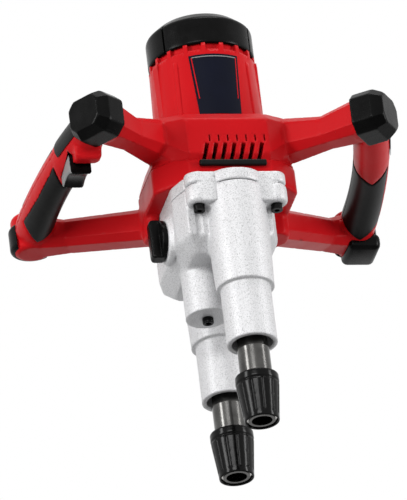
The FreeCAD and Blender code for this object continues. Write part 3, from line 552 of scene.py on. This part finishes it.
# Motor cap with moulding grooves down its side
GROOVE_ANGLES = [math.radians(angle) for angle in (-140.7, -39.3, 39.3, 140.7)]
GROOVE_HALF_WIDTH = 0.0011
GROOVE_DEPTH = 0.0018
GROOVE_FACING = 0.6
CAP_WALL_RADIUS = 0.046
CAP_GROOVE_TOP = 0.4405


def show_grooved_cap():
    bm = fine_copy("motor_cap", grain=0.002)
    ease_edges(bm, passes=3)
    for angle in GROOVE_ANGLES:
        outward = Vector((math.cos(angle), math.sin(angle), 0))
        across = Vector((-outward.y, outward.x, 0))
        for edge_of_groove in (-GROOVE_HALF_WIDTH, GROOVE_HALF_WIDTH):
            everything = bm.verts[:] + bm.edges[:] + bm.faces[:]
            bmesh.ops.bisect_plane(
                bm, geom=everything, plane_co=across * edge_of_groove, plane_no=across)
        floor_faces = []
        for face in bm.faces:
            middle = face.calc_center_median()
            on_wall = middle.dot(outward) > CAP_WALL_RADIUS and middle.z < CAP_GROOVE_TOP
            in_groove = abs(middle.dot(across)) < GROOVE_HALF_WIDTH
            if on_wall and in_groove and face.normal.dot(outward) > GROOVE_FACING:
                floor_faces.append(face)
        made = bmesh.ops.extrude_face_region(bm, geom=floor_faces)["geom"]
        moved = [item for item in made if isinstance(item, bmesh.types.BMVert)]
        bmesh.ops.translate(bm, verts=moved, vec=-outward * GROOVE_DEPTH)
    show_instead("motor_cap", bm)


show_grooved_cap()


# Trigger with a grey outer side and black elsewhere
GREY_SIDE_FACING = -0.6


def show_trigger():
    bm = fine_copy("trigger", grain=0.0014)
    ease_edges(bm, passes=3)
    bm.normal_update()
    for face in bm.faces:
        face.material_index = 1 if face.normal.x < GREY_SIDE_FACING else 0
    show_instead("trigger", bm).data.materials.append(grey_plastic())


show_trigger()


# Trim that the CAD leaves out
ROUNDING_SEGMENTS = 4


def add_trim(name, bm, body, slot, finish=None):
    """New piece on a CAD body, in its slot's finish or one of its own."""
    bmesh.ops.recalc_face_normals(bm, faces=bm.faces)
    piece = smooth_piece(name, bm, finish or FINISH_OF_SLOT[slot])
    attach(piece, body)


def rounded_block(bm, size, place, radius):
    """Adds a block with rounded edges, as a casting or a moulding has."""
    made = bmesh.ops.create_cube(bm, size=1.0)["verts"]
    bmesh.ops.scale(bm, verts=made, vec=size)
    bmesh.ops.translate(bm, verts=made, vec=place)
    edges = list({edge for vert in made for edge in vert.link_edges})
    bmesh.ops.bevel(bm, geom=edges, offset=radius, segments=ROUNDING_SEGMENTS, profile=0.5,
                    affect="EDGES", material=-1)


BOOT_SIZE = (0.0325, 0.0415, 0.017)
BOOT_PLACE = (0.1652, 0.1128, 0.2732)
BOOT_ROUNDING = 0.006


def show_right_rear_bumper():
    """Right rear bumper with the boot that wraps the foot of the handle."""
    bm = fine_copy("right_rear_bumper", grain=0.002)
    ease_edges(bm, passes=4)
    rounded_block(bm, BOOT_SIZE, BOOT_PLACE, BOOT_ROUNDING)
    show_instead("right_rear_bumper", bm)


WEB_SIZE = (0.024, 0.022, 0.0315)
WEB_ACROSS = 0.028
WEB_ALONG = 0.0695
WEB_HEIGHT = 0.2432
WEB_ROUNDING = 0.002


def add_boss_webs():
    """Cast webs that join each screw boss to the spindle barrel beside it."""
    bm = bmesh.new()
    for across in (-WEB_ACROSS, WEB_ACROSS):
        for along in (-WEB_ALONG, WEB_ALONG):
            rounded_block(bm, WEB_SIZE, (across, along, WEB_HEIGHT), WEB_ROUNDING)
    add_trim("boss_webs", bm, "housing", "cast_aluminium")


# Dark strip under the red bridge: a painted shadow of the bridge's overhang.
SHADOW_STRIP_SIZE = (0.066, 0.005, 0.006)
SHADOW_STRIP_PLACE = (0.002, -0.0655, 0.2755)
SHADOW_STRIP_ROUNDING = 0.0015


def add_bridge_shadow_strip():
    """Dark strip in the joint between the red bridge and the gearbox: painted shadow under the
    bridge's overhang, in the seal's rubber finish.
    """
    bm = bmesh.new()
    rounded_block(bm, SHADOW_STRIP_SIZE, SHADOW_STRIP_PLACE, SHADOW_STRIP_ROUNDING)
    add_trim("bridge_shadow_strip", bm, "housing", "seal_rubber")


# Radius and height of the tapered motor barrel at its two ends
BARREL_FOOT = Vector((0.0545, 0.306))
BARREL_HEAD = Vector((0.0515, 0.407))


def barrel_radius(height):
    share = (height - BARREL_FOOT.y) / (BARREL_HEAD.y - BARREL_FOOT.y)
    return BARREL_FOOT.x + (BARREL_HEAD.x - BARREL_FOOT.x) * share


RIB_ANGLES = [math.radians(angle) for angle in (-137, -43, 43, 137)]
RIB_HALF_ANGLE = math.radians(3)
RIB_FOOT = 0.315
RIB_HEAD = 0.399
RIB_RISE = 0.0012
RIB_WALL = 0.0008
RIB_CELLS_ACROSS = 6
RIB_CELLS_ALONG = 30
RIB_SIDE_POWER = 6
RIB_END_POWER = 24


def add_barrel_ribs():
    """Low upright ribs moulded on the motor barrel beside the label and at the back."""
    bm = bmesh.new()
    for middle in RIB_ANGLES:
        made = bmesh.ops.create_grid(
            bm, x_segments=RIB_CELLS_ACROSS, y_segments=RIB_CELLS_ALONG, size=0.5)["verts"]
        for vert in made:
            height = RIB_FOOT + (RIB_HEAD - RIB_FOOT) * (vert.co.y + 0.5)
            crown = ((1 - (2 * vert.co.x) ** RIB_SIDE_POWER)
                     * (1 - (2 * vert.co.y) ** RIB_END_POWER))
            radius = barrel_radius(height) + RIB_RISE * crown
            angle = middle + 2 * RIB_HALF_ANGLE * vert.co.x
            vert.co = (radius * math.sin(angle), -radius * math.cos(angle), height)
    bmesh.ops.solidify(bm, geom=bm.faces[:], thickness=RIB_WALL)
    add_trim("barrel_ribs", bm, "housing", "red_plastic")


LINE_LIFT = 0.00095
LINE_THICKNESS = 0.00025
LINE_CELLS = 20
LINE_FOOT = 0.353
LINE_HEAD = 0.3985
SIDE_LINE_FOOT_OFFSET = 0.0190
SIDE_LINE_HEAD_OFFSET = 0.0218
SIDE_LINE_WIDTH = 0.0009
TOP_LINE_HALF_LENGTH = 0.0214
TOP_LINE_WIDTH = 0.0008


def on_label(across, height):
    """Point just off the front of the label, from its distance to the side and its height."""
    radius = barrel_radius(height) + LINE_LIFT
    return Vector((across, -math.sqrt(radius * radius - across * across), height))


def add_label_line(name, start, end, width, slot, finish=None):
    """Thin line on the bare label panel."""
    bm = bmesh.new()
    bmesh.ops.create_grid(bm, x_segments=LINE_CELLS, y_segments=1, size=0.5)
    along = end - start
    sideways = Vector((-along.y, along.x)).normalized() * width
    for vert in bm.verts:
        place = start + along * (vert.co.x + 0.5) + sideways * vert.co.y
        vert.co = on_label(place.x, place.y)
    bmesh.ops.solidify(bm, geom=bm.faces[:], thickness=LINE_THICKNESS)
    add_trim(name, bm, "housing", slot, finish)


def add_label_lines():
    for name, side in (("label_left_line", -1), ("label_right_line", 1)):
        foot = Vector((side * SIDE_LINE_FOOT_OFFSET, LINE_FOOT))
        head = Vector((side * SIDE_LINE_HEAD_OFFSET, LINE_HEAD))
        add_label_line(name, foot, head, SIDE_LINE_WIDTH, "red_plastic")
    left_end = Vector((-TOP_LINE_HALF_LENGTH, LINE_HEAD))
    right_end = Vector((TOP_LINE_HALF_LENGTH, LINE_HEAD))
    add_label_line("label_top_line", left_end, right_end, TOP_LINE_WIDTH, "label_film",
                   grey_plastic())


# Path of the right grip's middle, from its front end, and the grip's half sizes
GRIP_START = (0.133, -0.098, 0.306)
GRIP_RUN = (0.027, 0.21, -0.016)
GRIP_BOW = 0.032
GRIP_HALF_WIDTH = 0.018
GRIP_HALF_HEIGHT = 0.020
STRIP_START = 0.05
STRIP_END = 0.3
STRIP_TAPER = 0.05
STRIP_MIDDLE_DEGREES = 18
STRIP_SPREAD_DEGREES = 76
STRIP_LIFT = 0.0005
STRIP_THICKNESS = 0.0012
STRIP_CELLS_ALONG = 24
STRIP_CELLS_ACROSS = 14


def on_grip(side, share, angle):
    """Point just off a grip, from its share of the length and its angle above the outer side."""
    middle = Vector((
        GRIP_START[0] + GRIP_RUN[0] * share + GRIP_BOW * share * (1 - share),
        GRIP_START[1] + GRIP_RUN[1] * share,
        GRIP_START[2] + GRIP_RUN[2] * share))
    slope = GRIP_RUN[0] + GRIP_BOW * (1 - 2 * share)
    outward = Vector((GRIP_RUN[1], -slope, 0)).normalized()
    point = middle + outward * (GRIP_HALF_WIDTH + STRIP_LIFT) * math.cos(angle)
    point.z += (GRIP_HALF_HEIGHT + STRIP_LIFT) * math.sin(angle)
    return Vector((side * point.x, point.y, point.z))


def add_outer_strips():
    """Soft strip on the outer side of each handle, from the bumper towards the pad."""
    for name, side in (("left_outer_strip", -1), ("right_outer_strip", 1)):
        bm = bmesh.new()
        bmesh.ops.create_grid(
            bm, x_segments=STRIP_CELLS_ALONG, y_segments=STRIP_CELLS_ACROSS, size=0.5)
        for vert in bm.verts:
            angle = math.radians(STRIP_MIDDLE_DEGREES + STRIP_SPREAD_DEGREES * vert.co.y)
            strip_end = STRIP_END - STRIP_TAPER * abs(vert.co.y)
            share = STRIP_START + (strip_end - STRIP_START) * (vert.co.x + 0.5)
            vert.co = on_grip(side, share, angle)
        bmesh.ops.solidify(bm, geom=bm.faces[:], thickness=STRIP_THICKNESS)
        add_trim(name, bm, "housing", "soft_grip")


show_right_rear_bumper()
add_boss_webs()
add_bridge_shadow_strip()
add_barrel_ribs()
add_label_lines()
add_outer_strips()

add_studio()
